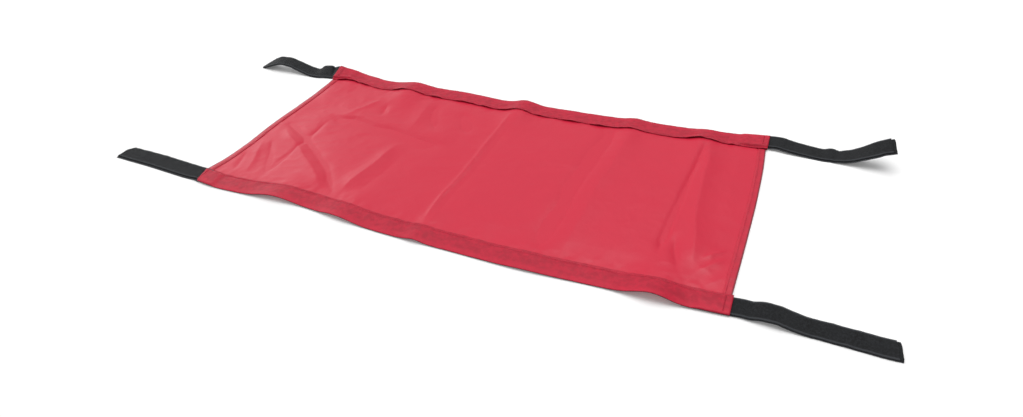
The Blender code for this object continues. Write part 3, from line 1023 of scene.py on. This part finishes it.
def make_floor():
    """White paper that goes over to plain white away from the belt, and keeps its shadow."""
    mesh = bpy.data.meshes.new("floor")
    bm = bmesh.new()
    bmesh.ops.create_grid(bm, x_segments=2, y_segments=2, size=6)
    bm.to_mesh(mesh)
    bm.free()
    material, tree = new_material("white paper floor")
    paper = add_node(tree, "ShaderNodeBsdfDiffuse", {"Color": linear("#f4f4f4")})
    path = add_node(tree, "ShaderNodeLightPath")
    place = add_node(tree, "ShaderNodeNewGeometry").outputs["Position"]
    away = add_node(tree, "ShaderNodeVectorMath", {"operation": "LENGTH"}, Vector=place).outputs["Value"]
    fill = add_node(
        tree, "ShaderNodeMapRange",
        {"From Min": PAPER_NEAR, "From Max": PAPER_FAR, "To Min": 0.12}, Value=away,
    )
    seen = add_node(
        tree, "ShaderNodeMath",
        {"operation": "MULTIPLY", 0: path.outputs["Is Camera Ray"], 1: fill.outputs["Result"]},
    )
    glow = add_node(
        tree, "ShaderNodeEmission", {"Color": linear("#ffffff")}, Strength=seen.outputs[0],
    )
    both = add_node(tree, "ShaderNodeAddShader", {0: paper.outputs[0], 1: glow.outputs[0]})
    add_node(tree, "ShaderNodeOutputMaterial", Surface=both.outputs[0])
    floor = new_piece("floor", mesh, material)
    floor.location.z = -0.1 * MM
    return floor


def make_world(strength, from_left):
    """A soft white room that is brighter on its left than on its right."""
    world = bpy.data.worlds.new("white studio")
    world.use_nodes = True
    tree = world.node_tree
    tree.nodes.clear()
    way = add_node(tree, "ShaderNodeTexCoord").outputs["Generated"]
    sides = add_node(tree, "ShaderNodeSeparateXYZ", Vector=way)
    glow = add_node(
        tree, "ShaderNodeMapRange",
        {"From Min": -1.0, "To Min": strength + from_left, "To Max": strength - from_left},
        Value=sides.outputs["X"],
    )
    path = add_node(tree, "ShaderNodeLightPath")
    paint = linear("#ffffff")
    soft = add_node(tree, "ShaderNodeBackground", {"Color": paint}, Strength=glow.outputs["Result"])
    white = add_node(tree, "ShaderNodeBackground", {"Color": paint, "Strength": 1.0})
    mix = add_node(
        tree, "ShaderNodeMixShader",
        {0: path.outputs["Is Camera Ray"], 1: soft.outputs[0], 2: white.outputs[0]},
    )
    add_node(tree, "ShaderNodeOutputWorld", Surface=mix.outputs[0])
    bpy.context.scene.world = world


floor = make_floor()
make_world(0.45, 0.4)
print("floor", tuple(round(s) for s in floor.dimensions), "m")

# %% Lamp
def make_lamp(name, place, aim, size, power):
    light = bpy.data.lights.new(name, "AREA")
    light.shape = "SQUARE"
    light.size = size
    light.energy = power
    lamp = bpy.data.objects.new(name, light)
    lamp.location = place
    lamp.rotation_euler = (Vector(aim) - Vector(place)).to_track_quat("-Z", "Y").to_euler()
    bpy.context.scene.collection.objects.link(lamp)


make_lamp("softbox above", (0.3, 0.45, 2.8), (0, 0, 0), 2.6, 64)
make_lamp("softbox to the left", (-1.7, 0.75, 0.8), (-0.2, 0, 0), 1.0, 3.5)
print("two lamps and a white studio")

# %% Camera
AZIMUTH, ELEVATION, ROLL = (math.radians(a) for a in (26.35, 38.21, -4.23))
TARGET, DISTANCE = Vector((0.0916, -0.0883, 0)), 0.8185  # where it looks, and from how far, in m
SENSOR, LENS = 36.0, 22.07


def make_camera():
    level_back = Vector((math.sin(AZIMUTH), -math.cos(AZIMUTH), 0))
    back = level_back * math.cos(ELEVATION) + Vector((0, 0, math.sin(ELEVATION)))
    right = Vector((0, 0, 1)).cross(back).normalized()
    up = back.cross(right)
    level = Matrix((right, up, back)).transposed()
    camera = bpy.data.objects.new("camera", bpy.data.cameras.new("camera"))
    camera.data.sensor_width = SENSOR
    camera.data.lens = LENS
    turned = (level @ Matrix.Rotation(ROLL, 3, "Z")).to_4x4()
    camera.matrix_world = Matrix.Translation(TARGET + back * DISTANCE) @ turned
    bpy.context.scene.collection.objects.link(camera)
    bpy.context.scene.camera = camera


make_camera()
bpy.context.scene.view_settings.view_transform = "Standard"
print("camera at", [round(v, 3) for v in bpy.context.scene.camera.location])
